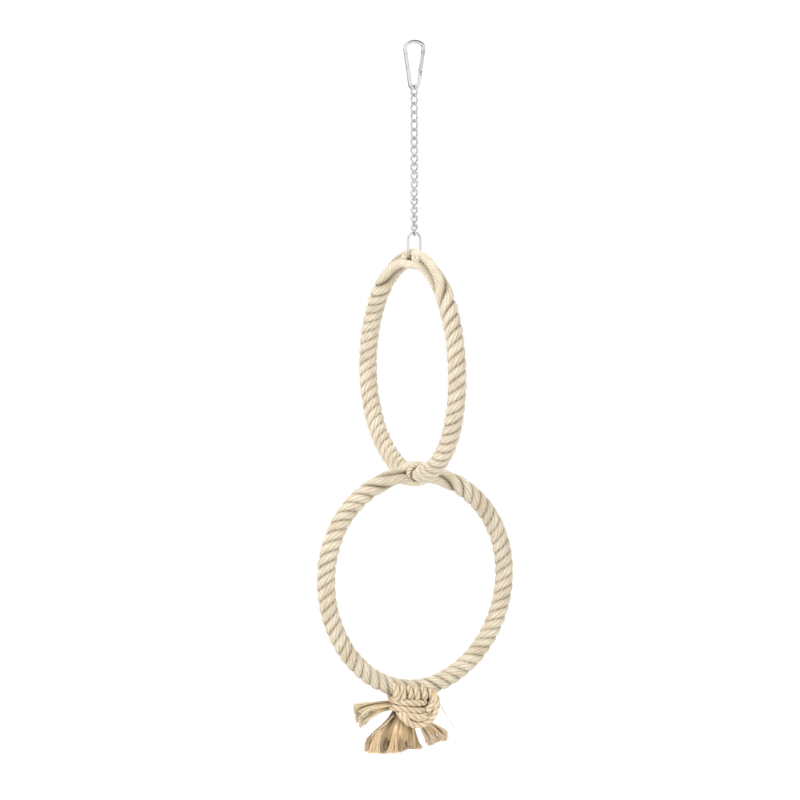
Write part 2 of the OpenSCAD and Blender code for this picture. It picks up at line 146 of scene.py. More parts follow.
# Plated steel: bright nickel over bent wire. Handling leaves fine wire lines and small dull spots,
# and the plating darkens a little where water has stood.
def shader_group(name, takes, gives):
    """An empty shader node group with its named inputs and outputs."""
    group = bpy.data.node_groups.new(name, "ShaderNodeTree")
    for label, kind, value in takes:
        socket = group.interface.new_socket(label, in_out="INPUT", socket_type="NodeSocket" + kind)
        socket.default_value = value
    for label, kind in gives:
        group.interface.new_socket(label, in_out="OUTPUT", socket_type="NodeSocket" + kind)
    return group, group.nodes.new("NodeGroupInput"), group.nodes.new("NodeGroupOutput")


def noise(tree, place, scale, detail=3.0, roughness=0.55):
    """A noise texture read at a place in the tree."""
    cloud = tree.nodes.new("ShaderNodeTexNoise")
    cloud.inputs["Scale"].default_value = scale
    cloud.inputs["Detail"].default_value = detail
    cloud.inputs["Roughness"].default_value = roughness
    tree.links.new(place, cloud.inputs["Vector"])
    return cloud.outputs["Fac"]


def between(tree, share, low, high, first, last):
    """A share between two limits mapped onto a range from first to last."""
    fit = tree.nodes.new("ShaderNodeMapRange")
    fit.inputs["From Min"].default_value = low
    fit.inputs["From Max"].default_value = high
    fit.inputs["To Min"].default_value = first
    fit.inputs["To Max"].default_value = last
    tree.links.new(share, fit.inputs["Value"])
    return fit.outputs["Result"]


def blended(tree, share, first, second):
    """A colour between two colours, each a socket or a plain colour."""
    mix = tree.nodes.new("ShaderNodeMix")
    mix.data_type = "RGBA"
    tree.links.new(share, mix.inputs["Factor"])
    for socket, value in ((mix.inputs[6], first), (mix.inputs[7], second)):
        if isinstance(value, bpy.types.NodeSocket):
            tree.links.new(value, socket)
        else:
            socket.default_value = value
    return mix.outputs[2]


plating, taken, given = shader_group(
    "plating",
    [("Tone", "Color", (0.6, 0.6, 0.6, 1)), ("Stain tone", "Color", (0.3, 0.3, 0.3, 1)), ("Polish", "Float", 0.2)],
    [("Color", "Color"), ("Roughness", "Float"), ("Height", "Float")],
)
spot = plating.nodes.new("ShaderNodeTexCoord").outputs["Object"]
stains = between(plating, noise(plating, spot, 420), 0.5, 0.72, 0, 1)
smears = noise(plating, spot, 1500, 4, 0.7)
dull = plating.nodes.new("ShaderNodeMath")
dull.operation = "MULTIPLY_ADD"
dull.inputs[1].default_value = 0.16
plating.links.new(smears, dull.inputs[0])
plating.links.new(taken.outputs["Polish"], dull.inputs[2])
plating.links.new(blended(plating, stains, taken.outputs["Tone"], taken.outputs["Stain tone"]), given.inputs["Color"])
plating.links.new(dull.outputs[0], given.inputs["Roughness"])
plating.links.new(smears, given.inputs["Height"])


def plated(name, tone, stain_tone, polish, grain_depth=0.02 * mm):
    """Plated metal with a tone of its own."""
    finish = bpy.data.materials.new(name)
    finish.use_nodes = True
    tree = finish.node_tree
    coat = tree.nodes["Principled BSDF"]
    coat.inputs["Metallic"].default_value = 1.0
    effect = tree.nodes.new("ShaderNodeGroup")
    effect.node_tree = plating
    effect.inputs["Tone"].default_value = (*tone, 1)
    effect.inputs["Stain tone"].default_value = (*stain_tone, 1)
    effect.inputs["Polish"].default_value = polish
    bump = tree.nodes.new("ShaderNodeBump")
    bump.inputs["Distance"].default_value = grain_depth
    bump.inputs["Strength"].default_value = 0.5
    tree.links.new(effect.outputs["Color"], coat.inputs["Base Color"])
    tree.links.new(effect.outputs["Roughness"], coat.inputs["Roughness"])
    tree.links.new(effect.outputs["Height"], bump.inputs["Height"])
    tree.links.new(bump.outputs["Normal"], coat.inputs["Normal"])
    return finish


bright_nickel = plated("bright_nickel", (0.77, 0.77, 0.76), (0.58, 0.57, 0.55), polish=0.2)
dull_steel = plated("dull_steel", (0.36, 0.36, 0.35), (0.2, 0.19, 0.18), polish=0.3)


# Snap hook: nickel-plated wire bent to a pear shape round its crown, shoulders and foot.
# One end is pressed flat for the gate's rivet, and the other is pressed flat and notched for the latch.
hook_wire = 3.2 * mm
hook_height = 40.3 * mm
hook_width = 19.8 * mm
crown_radius = 13 * mm
shoulder_radius = 4.5 * mm
foot_radius = 4 * mm
rivet_depth = 22.7 * mm
latch_size = 0.9 * mm
tang_thick = 1.2 * mm
nose_thick = 1.1 * mm
nose_length = 3.6 * mm
nose_width = 2.6 * mm
latch_drop = 1.9 * mm
gate_gap = 0.2 * mm

crown_z = hook_wire / 2 - crown_radius
shoulder_x = (hook_width - hook_wire) / 2 - shoulder_radius
shoulder_z = crown_z + sqrt((crown_radius - shoulder_radius) ** 2 - shoulder_x ** 2)
crown_half_angle = atan2(shoulder_x, shoulder_z - crown_z)
foot_z = hook_wire * 1.5 - hook_height + foot_radius
side_lean = (acos((foot_radius - shoulder_radius) / hypot(shoulder_x, shoulder_z - foot_z))
             - atan2(shoulder_z - foot_z, shoulder_x))
side_x = shoulder_x + shoulder_radius * cos(side_lean)
side_z = shoulder_z - shoulder_radius * sin(side_lean)
rivet_x = side_x - (side_z - -rivet_depth) * tan(side_lean)
gate_top = (side_z + rivet_depth) / cos(side_lean) - gate_gap
tang_radius = hook_wire / 2 - gate_gap / 2
shoulder_drop = hook_wire / 2 + gate_gap
latch_z = gate_top - latch_drop


def frames(path, toward, closed):
    """Directions at each station of a path: along it, to its side, and up, square to both."""
    if closed:
        along = np.roll(path, -1, 0) - np.roll(path, 1, 0)
    else:
        along = np.gradient(path, axis=0)
    along = along / np.linalg.norm(along, axis=1)[:, None]
    side = np.cross(along, toward)
    side = side / np.linalg.norm(side, axis=1)[:, None]
    return along, side, np.cross(along, side)


def rolled(name, finish, around, along, places, closed=False):
    """Flat grids rolled into tubes. A place takes station numbers and angles round the tube, and gives
    the points, the grain there (a place on the unrolled surface) and the depth in the grooves, a darkness
    that the sisal finishes paint in as shade, and for loose fibres also their own tone."""
    flat = bmesh.new()
    for _ in places:
        bmesh.ops.create_grid(flat, x_segments=along, y_segments=around, size=1)
    mesh = bpy.data.meshes.new(name)
    flat.to_mesh(mesh)
    flat.free()
    spots = np.empty(len(mesh.vertices) * 3)
    mesh.vertices.foreach_get("co", spots)
    spots = spots.reshape(len(places), -1, 3)
    stations = along if closed else along + 1
    made = [
        place(np.rint((part[:, 0] + 1) * along / 2).astype(int) % stations, (part[:, 1] + 1) * pi)
        for place, part in zip(places, spots)
    ]
    mesh.vertices.foreach_set("co", np.concatenate([m[0] for m in made]).ravel())
    grain = mesh.attributes.new("grain", "FLOAT_VECTOR", "POINT")
    grain.data.foreach_set("vector", np.concatenate([m[1] for m in made]).ravel())
    depth = mesh.attributes.new("depth", "FLOAT", "POINT")
    depth.data.foreach_set("value", np.concatenate([m[2] for m in made]).ravel())
    joined = bmesh.new()
    joined.from_mesh(mesh)
    bmesh.ops.remove_doubles(joined, verts=joined.verts, dist=0.0001 * mm)
    if not closed:
        bmesh.ops.holes_fill(joined, edges=[e for e in joined.edges if e.is_boundary], sides=0)
    bmesh.ops.recalc_face_normals(joined, faces=joined.faces)
    joined.to_mesh(mesh)
    joined.free()
    mesh.shade_smooth()
    mesh.materials.append(finish)
    piece = bpy.data.objects.new(name, mesh)
    bpy.context.collection.objects.link(piece)
    return piece


def wire_place(path, toward, radius, closed=False):
    """Round wire along a path."""
    along, side, up = frames(path, toward, closed)
    length = np.concatenate([[0], np.cumsum(np.linalg.norm(np.diff(path, axis=0), axis=1))])
    radius = np.broadcast_to(radius, len(path))

    def place(i, a):
        ring = side[i] * np.cos(a)[:, None] + up[i] * np.sin(a)[:, None]
        grain = np.stack([radius[i] * np.cos(a), radius[i] * np.sin(a), length[i]], 1)
        return path[i] + ring * radius[i][:, None], grain, np.zeros(len(i))

    return place


def arc(x, z, radius, start, end, steps):
    """Points on an arc in the XZ plane, between two angles above +X."""
    a = np.linspace(start, end, steps + 1)
    return np.stack([x + radius * np.cos(a), 0 * a, z + radius * np.sin(a)], 1)


def line(start, end, steps):
    """Points between two points, without the two themselves."""
    share = np.linspace(0, 1, steps + 1)[1:-1, None]
    return np.asarray(start) * (1 - share) + np.asarray(end) * share


tang_foot = np.array([rivet_x - shoulder_drop * sin(side_lean), 0, -rivet_depth - shoulder_drop * cos(side_lean)])
foot_arc = arc(0, foot_z, foot_radius, -side_lean, side_lean - pi, 24)
left_arc = arc(-shoulder_x, shoulder_z, shoulder_radius, pi + side_lean, pi / 2 + crown_half_angle, 12)
crown_arc = arc(0, crown_z, crown_radius, pi / 2 + crown_half_angle, pi / 2 - crown_half_angle, 12)
right_arc = arc(shoulder_x, shoulder_z, shoulder_radius, pi / 2 - crown_half_angle, -side_lean, 12)
hook_path = np.concatenate([
    [tang_foot], line(tang_foot, foot_arc[0], 6), foot_arc, line(foot_arc[-1], left_arc[0], 10), left_arc,
    crown_arc[1:-1], right_arc,
])
hook_places = [wire_place(hook_path, (0, 1, 0), hook_wire / 2)]
hook = rolled("snap_hook_wire", bright_nickel, 24, len(hook_path) - 1, hook_places)


def cut_plate(name, outline, thick, rounding, finish):
    """A flat plate from its outline in X and Z, in the gate's frame, with its edges rounded over."""
    plate = bmesh.new()
    face = plate.faces.new([plate.verts.new((x, -thick / 2, z)) for x, z in outline])
    raised = bmesh.ops.extrude_face_region(plate, geom=[face])["geom"]
    bmesh.ops.translate(plate, verts=[v for v in raised if isinstance(v, bmesh.types.BMVert)], vec=(0, thick, 0))
    bmesh.ops.recalc_face_normals(plate, faces=plate.faces)
    sharp = [e for e in plate.edges if e.calc_face_angle(0) > radians(40)]
    bmesh.ops.bevel(plate, geom=sharp, offset=rounding, segments=2, profile=0.5, affect="EDGES", material=-1)
    mesh = bpy.data.meshes.new(name)
    plate.to_mesh(mesh)
    plate.free()
    mesh.materials.append(finish)
    piece = bpy.data.objects.new(name, mesh)
    bpy.context.collection.objects.link(piece)
    return piece


def hang_at_rivet(piece):
    """Moves a mesh made in the gate's frame to its place on the hook."""
    for vertex in piece.data.vertices:
        x, y, z = vertex.co
        vertex.co = (
            rivet_x + x * cos(side_lean) + z * sin(side_lean), y,
            -rivet_depth + z * cos(side_lean) - x * sin(side_lean),
        )


tang_turns = [pi * k / 16 for k in range(17)]
tang_outline = [(tang_radius * cos(a), tang_radius * sin(a)) for a in tang_turns]
tang_outline += [(-tang_radius, -shoulder_drop - 0.8 * mm), (tang_radius, -shoulder_drop - 0.8 * mm)]
tang = cut_plate("snap_hook_tang", tang_outline, tang_thick, 0.12 * mm, bright_nickel)
notch = (latch_size + 3 * gate_gap) / 2
nose_outline = [
    (-nose_width / 2, gate_top + gate_gap - nose_length), (nose_width / 2, gate_top + gate_gap - nose_length),
    (nose_width / 2, gate_top + gate_gap + 0.8 * mm), (-nose_width / 2, gate_top + gate_gap + 0.8 * mm),
    (-nose_width / 2, latch_z + notch),
]
nose_outline += [(notch * sin(a), latch_z + notch * cos(a)) for a in [pi * k / 10 for k in range(11)]]
nose_outline += [(-nose_width / 2, latch_z - notch)]
nose = cut_plate("snap_hook_nose", nose_outline, nose_thick, 0.1 * mm, bright_nickel)
for piece in (tang, nose):
    hang_at_rivet(piece)
for piece in (hook, tang, nose):
    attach(piece, "hook")
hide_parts("hook_body")


# Gate: a short round bar, slotted at both ends, that turns on a rivet and springs shut on the hook's nose.
# The rivet, the latch pin, the plunger and the spring are plain steel.
def softened(node, name, finish, body, rounding):
    """The frame's own solid, with its corners joined and rounded over."""
    solid = bmesh.new()
    solid.from_mesh(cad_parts[node].data)
    bmesh.ops.remove_doubles(solid, verts=solid.verts, dist=0.001 * mm)
    bmesh.ops.dissolve_limit(solid, angle_limit=radians(0.5), verts=solid.verts, edges=solid.edges)
    mesh = bpy.data.meshes.new(name)
    solid.to_mesh(mesh)
    solid.free()
    mesh.shade_smooth()
    mesh.materials.append(finish)
    piece = bpy.data.objects.new(name, mesh)
    bpy.context.collection.objects.link(piece)
    edge = piece.modifiers.new("rounded", "BEVEL")
    edge.width = rounding
    edge.segments = 2
    edge.limit_method = "ANGLE"
    edge.angle_limit = radians(35)
    edge.harden_normals = True
    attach(piece, body)
    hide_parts(node)
    return piece


gate_nickel = plated("gate_nickel", (0.64, 0.64, 0.63), (0.45, 0.44, 0.42), polish=0.24)
softened("hook_gate", "gate_bar", gate_nickel, "gate", rounding=0.12 * mm)
softened("gate_rivet", "gate_rivet_head", dull_steel, "gate", rounding=0.1 * mm)
softened("gate_latch_pin", "gate_cross_pin", dull_steel, "gate", rounding=0.06 * mm)
softened("gate_plunger", "gate_spring_plunger", dull_steel, "gate", rounding=0.06 * mm)
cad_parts["gate_spring"].data.materials.clear()
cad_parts["gate_spring"].data.materials.append(dull_steel)


# Chain: seventeen links of nickel-plated wire, each bent to an oval and twisted a little more than
# a quarter turn, so that every link lies square to its neighbours and the chain turns as it falls.
link_wire = 1.6 * mm
link_play = 0.4 * mm
link_pitch = 6.95 * mm
link_slack = 0.15 * mm
link_count = 17
link_width = hook_wire + link_play + 2 * link_wire
link_radius = (link_width - link_wire) / 2
link_length = link_pitch + link_wire + link_slack
link_twist = pi / 2 * (link_count + 1) / link_count
flat_share = 0.22
first_link_z = foot_z - foot_radius + hook_wire / 2 + link_wire / 2 + link_slack
last_link_z = first_link_z - (link_count - 1) * link_pitch - link_length


def ease(x):
    """Smooth step from 0 to 1."""
    x = np.clip(x, 0, 1)
    return x * x * (3 - 2 * x)


def turned(points, angle):
    """Points turned about the hanging line."""
    c, s = np.cos(angle), np.sin(angle)
    return np.stack([points[:, 0] * c - points[:, 1] * s, points[:, 0] * s + points[:, 1] * c, points[:, 2]], 1)


link_stations = 64
u = (np.arange(link_stations) + 0.5) * 2 * pi / link_stations
straight = link_length / 2 - link_radius
link_flat = np.stack([
    link_radius * np.sin(u), 0 * u,
    link_radius * np.cos(u) + straight * np.sign(np.cos(u)) * ease(np.abs(np.cos(u)) * 3),
], 1)
link_turn = link_twist * (0.5 - ease((link_flat[:, 2] / link_length + 0.5 - flat_share) / (1 - 2 * flat_share)))
link_loop = turned(link_flat, link_turn)
link_faces_to = turned(np.tile([0.0, 1.0, 0.0], (link_stations, 1)), link_turn)
chain_nickel = plated("chain_nickel", (0.78, 0.77, 0.75), (0.5, 0.49, 0.46), polish=0.22)
for i in range(link_count):
    azimuth = pi / 2 + link_twist / 2 + i * (link_twist - pi / 2)
    path = turned(link_loop, azimuth) + [0, 0, first_link_z - i * link_pitch - link_length / 2]
    name = f"{i + 1:02d}"
    link = rolled(
        "twisted_link_" + name, chain_nickel, 14, link_stations,
        [wire_place(path, turned(link_faces_to, azimuth), link_wire / 2, True)], closed=True,
    )
    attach(link, "link_" + name)
    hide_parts("chain_link_" + name)


# Connector: a longer oval link, closed through the top of the upper ring between its strands.
connector_wire = 2 * mm
connector_width = 13 * mm
connector_length = 20.9 * mm
connector_radius = (connector_width - connector_wire) / 2
connector_top = last_link_z + link_wire / 2 + connector_wire / 2 + link_slack
connector_foot = connector_top - connector_length
top_arc = arc(0, connector_top - connector_radius, connector_radius, 0, pi, 24)
low_arc = arc(0, connector_foot + connector_radius, connector_radius, pi, 2 * pi, 24)
connector_path = np.concatenate([top_arc, line(top_arc[-1], low_arc[0], 4), low_arc, line(low_arc[-1], top_arc[0], 4)])
connector = rolled(
    "connector_oval", chain_nickel, 18, len(connector_path),
    [wire_place(connector_path, (0, 1, 0), connector_wire / 2, True)], closed=True,
)
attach(connector, "connector")
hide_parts("connector_link")


# Upper ring: three strands of sisal, right-laid and closed on themselves. The strands part at the top for
# the connector's wire, run nearly straight beside it over short packing yarns, and are squeezed to a neck
# at the foot, where the lower ring is tied through.
# Sisal: the pale and tan streaks and patches are the fibre's own tone. The groove colour, mixed in by the depth
# attribute times Darkening, is painted shade in the grooves between strands and yarns.
sisal, taken, given = shader_group(
    "sisal",
    [("Pale", "Color", (0.8, 0.68, 0.47, 1)), ("Tan", "Color", (0.6, 0.44, 0.25, 1)),
     ("Groove shade", "Color", (0.3, 0.2, 0.09, 1)), ("Darkening", "Float", 1.0)],
    [("Color", "Color"), ("Roughness", "Float"), ("Height", "Float")],
)
here = sisal.nodes.new("ShaderNodeAttribute")
here.attribute_name = "grain"
inner = sisal.nodes.new("ShaderNodeAttribute")
inner.attribute_name = "depth"
stretch = sisal.nodes.new("ShaderNodeMapping")
stretch.inputs["Scale"].default_value = (1, 1, 0.07)
sisal.links.new(here.outputs["Vector"], stretch.inputs["Vector"])
fibres = noise(sisal, stretch.outputs["Vector"], 5200, 4, 0.65)
streaks = noise(sisal, stretch.outputs["Vector"], 1400, 3, 0.6)
patches = noise(sisal, sisal.nodes.new("ShaderNodeTexCoord").outputs["Object"], 75, 3, 0.6)
toned = blended(sisal, between(sisal, streaks, 0.42, 0.68, 0, 0.75), taken.outputs["Pale"], taken.outputs["Tan"])
toned = blended(sisal, between(sisal, patches, 0.47, 0.72, 0, 0.6), toned, taken.outputs["Tan"])
shade = sisal.nodes.new("ShaderNodeMath")
shade.operation = "MULTIPLY"
sisal.links.new(inner.outputs["Fac"], shade.inputs[0])
sisal.links.new(taken.outputs["Darkening"], shade.inputs[1])
sisal.links.new(blended(sisal, shade.outputs[0], toned, taken.outputs["Groove shade"]), given.inputs["Color"])
sisal.links.new(between(sisal, fibres, 0.3, 0.7, 0.7, 0.95), given.inputs["Roughness"])
sisal.links.new(fibres, given.inputs["Height"])


def sisal_finish(name, pale_tone, tan_tone, groove_shade_tone, darkening, fibre_depth):
    """Sisal with colours of its own. Its groove tone is the painted shade in its grooves."""
    finish = bpy.data.materials.new(name)
    finish.use_nodes = True
    tree = finish.node_tree
    coat = tree.nodes["Principled BSDF"]
    coat.inputs["Sheen Weight"].default_value = 0.15
    coat.inputs["Specular IOR Level"].default_value = 0.25
    effect = tree.nodes.new("ShaderNodeGroup")
    effect.node_tree = sisal
    effect.inputs["Pale"].default_value = (*pale_tone, 1)
    effect.inputs["Tan"].default_value = (*tan_tone, 1)
    effect.inputs["Groove shade"].default_value = (*groove_shade_tone, 1)
    effect.inputs["Darkening"].default_value = darkening
    bump = tree.nodes.new("ShaderNodeBump")
    bump.inputs["Distance"].default_value = fibre_depth
    bump.inputs["Strength"].default_value = 0.8
    tree.links.new(effect.outputs["Color"], coat.inputs["Base Color"])
    tree.links.new(effect.outputs["Roughness"], coat.inputs["Roughness"])
    tree.links.new(effect.outputs["Height"], bump.inputs["Height"])
    tree.links.new(bump.outputs["Normal"], coat.inputs["Normal"])
    return finish


rope_sisal = sisal_finish("rope_sisal", (0.68, 0.615, 0.495), (0.48, 0.39, 0.26), (0.15, 0.1, 0.05), 1.1, 0.25 * mm)

rope_size = 15 * mm
ring_half_width = 80 * mm
ring_half_height = 86.5 * mm
neck_size = 10 * mm
neck_half = 6.8 * mm
neck_taper = 9 * mm
upper_z = connector_foot - ring_half_height
crossing_z = connector_foot - 2 * ring_half_height
lay_length = 26 * mm
ring_stations = 600
yarn_turn = 0.2 / mm


def ring_line(egg_share, bulge, out, centre_z):
    """A ring's centre line at even steps, starting at its top and going towards the direction out."""
    t = np.linspace(0, 2 * pi, 6001)
    wide = ring_half_width * np.sin(t) * (1 + egg_share * np.cos(t)) + bulge * np.sin(t) ** 2
    high = ring_half_height * np.cos(t)
    run = np.concatenate([[0], np.cumsum(np.hypot(np.diff(wide), np.diff(high)))])
    even = np.arange(ring_stations) * run[-1] / ring_stations
    wide, high = np.interp(even, run, wide), np.interp(even, run, high)
    return np.outer(wide, out) + np.outer(high + centre_z, (0, 0, 1)), run[-1], wide, high


def lay_phase(slowness, step):
    """How far the strands have turned round the rope at each station: whole turns on a closed ring,
    slower where the rope is held straight."""
    rate = (1 - slowness) * 2 * pi / lay_length * step
    total = rate.sum()
    return np.concatenate([[0], np.cumsum(rate)[:-1]]) * 2 * pi * round(total / 2 / pi) / total


def strand_places(centre, toward, phase, spread, thick, wide, count, yarns, closed, settled=None, share=0.0,
                  shallow=0.1, rope_radius=7.5 * mm, twist=yarn_turn, shade=1.0):
    """Places of the strands that are laid round a centre line. Spread is how far they lie from the middle, and
    thick and wide are their half sizes, outwards and sideways. Where share is 1 a strand lies at its settled place.
    Shade scales the painted shade in the grooves, and rope radius sets how far in it starts. It is less where the
    strands lie loose side by side."""
    along, side, up = frames(centre, toward, closed)
    count_along = len(centre)
    shade = np.broadcast_to(shade, count_along)
    spread, share = (np.broadcast_to(v, count_along)[:, None] for v in (spread, share))
    reach = np.broadcast_to(rope_radius, count_along)
    places = []
    for k in range(count):
        angle = (phase + 2 * pi * k / count)[:, None]
        offset = np.concatenate([np.cos(angle), np.sin(angle)], 1) * spread
        if settled is not None:
            offset = offset * (1 - share) + np.asarray(settled[k]) * share
        path = centre + side * offset[:, :1] + up * offset[:, 1:]
        if closed:
            run = np.roll(path, -1, 0) - np.roll(path, 1, 0)
        else:
            run = np.gradient(path, axis=0)
        run = run / np.linalg.norm(run, axis=1)[:, None]
        out = side * offset[:, :1] + up * offset[:, 1:]
        out = out - run * (out * run).sum(1)[:, None]
        out = out / np.linalg.norm(out, axis=1)[:, None]
        across = np.cross(run, out)
        steps = np.linalg.norm(np.roll(path, -1, 0) - path, axis=1)
        length = np.concatenate([[0], np.cumsum(steps)[:-1]])
        turns = twist * length
        if closed:
            turns = length / steps.sum() * 2 * pi * round(twist * steps.sum() / 2 / pi)
        swell = 1 + 0.025 * np.sin(np.arange(count_along) * 2 * pi * 7 / count_along + k * 2)
        half = np.broadcast_to(thick[k] if isinstance(thick, list) else thick, count_along) * swell
        broad = np.broadcast_to(wide[k] if isinstance(wide, list) else wide, count_along) * swell

        def place(i, a, path=path, out=out, across=across, half=half, broad=broad, length=length, turns=turns):
            turn = a - turns[i]
            ridge = 1 - shallow * (1 - np.abs(np.sin(a * yarns / 2))) ** 2
            push = out[i] * (half[i] * np.cos(turn) * ridge)[:, None]
            push = push + across[i] * (broad[i] * np.sin(turn) * ridge)[:, None]
            spots = path[i] + push
            away = np.linalg.norm(spots - centre[i], axis=1) / reach[i]
            # Painted shade: the strand's surface darkens towards the rope's middle and along the small grooves between
            # yarns.
            deep = shade[i] * ease((1.05 - away) / 0.36)
            deep = np.maximum(deep, 0.36 * (1 - np.abs(np.sin(a * yarns / 2))) ** 3)
            return spots, np.stack([half[i] * np.cos(a), half[i] * np.sin(a), length[i] + k * 31 * mm], 1), deep

        places.append(place)
    return places


upper_centre, upper_run, upper_wide, upper_high = ring_line(-0.045, 4.5 * mm, (0, 1, 0), upper_z)
upper_step = upper_run / ring_stations
slot_half, slot_taper = 4 * mm, 14 * mm
slot_spots = [(4.6 * mm, 0), (-4.3 * mm, 3.3 * mm), (-4.3 * mm, -3.3 * mm)]
loose_half, loose_taper = 38 * mm, 33 * mm
near_top = np.where(upper_high > 0, 1 - ease((np.abs(upper_wide) - slot_half) / slot_taper), 0)
straight_top = np.where(upper_high > 0, 1 - ease((np.abs(upper_wide) - loose_half) / loose_taper), 0)
near_foot = np.where(upper_high < 0, 1 - ease((np.abs(upper_wide) - neck_half) / neck_taper), 0)
upper_size = rope_size / 2 * (1 - near_foot) + (neck_size / 2 - 0.1 * mm) * near_foot
upper_lay = lay_phase(np.maximum(0.97 * straight_top, 0.3 * near_foot), upper_step)
# The painted groove shade is weaker along the loose, straight top and round the connector's slot.
upper_rope = rolled(
    "upper_rope", rope_sisal, 32, ring_stations,
    strand_places(
        upper_centre, (-1, 0, 0), upper_lay, upper_size * 0.54,
        [upper_size * 0.46] * 3, [upper_size * (0.53 + 0.12 * near_foot)] * 3,
        count=3, yarns=8, closed=True, settled=slot_spots, share=near_top,
        rope_radius=upper_size * (1 - 0.3 * near_top), shade=1 - 0.55 * straight_top,
    ), closed=True,
)


def hair_place(spots, dark, offset, radius):
    """One thin fibre through a few points."""
    along, side, up = frames(spots, (0.02, 0.9, 0.01), False)
    taper = radius * np.append(np.ones(len(spots) - 1), 0.4)

    def place(i, a):
        ring = side[i] * np.cos(a)[:, None] + up[i] * np.sin(a)[:, None]
        grain = np.stack([offset * 50 * mm + 0 * a, offset * 20 * mm + 0 * a, i * 3 * mm], 1)
        return spots[i] + ring * taper[i][:, None], grain, dark[i]

    return place


hair_clear = 22 * mm


def rope_hairs(name, centre, toward, step, clear, count, seed):
    """Fibre ends that stand off a rope, along its lay, except where other pieces rub on it."""
    pick = random.Random(seed)
    along, side, up = frames(centre, toward, True)
    places = []
    while len(places) < count:
        start = pick.randrange(len(centre))
        spin, length = pick.uniform(0, 2 * pi), pick.uniform(3, 8) * mm
        if min(abs(centre[start][2] - z) for z in clear) < hair_clear:
            continue
        share = np.linspace(0, 1, 6)
        turn = spin + pick.choice((-1, 1)) * length / lay_length * 2 * pi * share * pick.uniform(0.6, 1.3)
        rise = 6.7 * mm + pick.uniform(0.8, 2.2) * mm * share ** 1.6
        at = (start + np.rint(share * length / step).astype(int)) % len(centre)
        spots = centre[at] + side[at] * (np.cos(turn) * rise)[:, None] + up[at] * (np.sin(turn) * rise)[:, None]
        places.append(hair_place(spots, np.full(6, pick.uniform(0, 0.3)), pick.uniform(0, 1), 0.07 * mm))
    return rolled(name, rope_sisal, 3, 5, places)


packing_starts = (-16.3 * mm, 3.9 * mm)
packing_length = 12.4 * mm
packing_radius = 5.6 * mm
yarn_twist = 0.4 / mm
packing = []
for number, start_y in enumerate(packing_starts):
    packing_y = start_y + np.linspace(0, packing_length, 33)
    packing_z = connector_foot - ring_half_height * (1 - np.cos(np.arcsin(np.abs(packing_y) / ring_half_width)))
    packing_path = np.stack([0 * packing_y, packing_y, packing_z], 1)
    packing += strand_places(
        packing_path, (-1, 0, 0), np.linspace(0, 4, 33) + number, 3.4 * mm, [2.4 * mm] * 3, [3.2 * mm] * 3,
        count=3, yarns=4, closed=False, shallow=0.08, rope_radius=packing_radius, twist=yarn_twist,
    )
packed = rolled("upper_rope_packing", rope_sisal, 12, 32, packing)
hair_count = 420
upper_hairs = rope_hairs(
    "upper_rope_hairs", upper_centre, (-1, 0, 0), upper_step, (connector_foot, crossing_z), hair_count, seed=21,
)
wrap_half = 6.4 * mm
neck_path = np.stack([np.zeros(33), np.linspace(-wrap_half, wrap_half, 33), np.full(33, crossing_z)], 1)
# A paler sisal for the neck wrap and the eye's lips. Its lighter groove tone and weaker darkening are painted light
# that lifts the shade in the crevice where the rings cross.
crossing_lightened_sisal = sisal_finish("crossing_lightened_sisal", (0.74, 0.67, 0.54), (0.58, 0.49, 0.35), (0.32, 0.23, 0.13), 0.8, 0.25 * mm)
neck_wrap = rolled("upper_rope_neck", crossing_lightened_sisal, 12, 32, strand_places(
    neck_path, (-1, 0, 0), np.linspace(0, 2.4, 33), 3.4 * mm, [1.6 * mm] * 5, [2.15 * mm] * 5,
    count=5, yarns=4, closed=False, shallow=0.06, rope_radius=neck_size / 2, twist=yarn_twist,
))
for piece in (upper_rope, upper_hairs, packed, neck_wrap):
    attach(piece, "upper_ring")
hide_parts("upper_rope_ring")


# Lower ring: the same rope, opened at its top so that one strand passes over the upper ring's neck
# and two pass under it. A thin laid cord lines the eye's mouth on either side.
eye_thick = (2.7 * mm, 1.9 * mm, 1.9 * mm)
eye_wide = (5.4 * mm, 3.2 * mm, 3.2 * mm)
eye_spots = [(8 * mm, 0), (-7.2 * mm, 3 * mm), (-7.2 * mm, -3 * mm)]
eye_flat = 2.5 * mm
eye_taper = 11 * mm
straight_eye = (12 * mm, 44 * mm)
lower_z = crossing_z - ring_half_height
lower_foot_z = lower_z - ring_half_height
lower_centre, lower_run, lower_wide, lower_high = ring_line(0.04, 1.5 * mm, (1, 0, 0), lower_z)
lower_step = lower_run / ring_stations
in_eye = np.where(lower_high > 0, 1 - ease((np.abs(lower_wide) - eye_flat) / eye_taper), 0)
slow_eye = np.where(lower_high > 0, 1 - ease((np.abs(lower_wide) - straight_eye[0]) / straight_eye[1]), 0)
knot_half, knot_taper = 10 * mm, 20 * mm
near_knot = np.where(lower_high < 0, 1 - ease((np.abs(lower_wide) - knot_half) / knot_taper), 0)
full = rope_size / 4
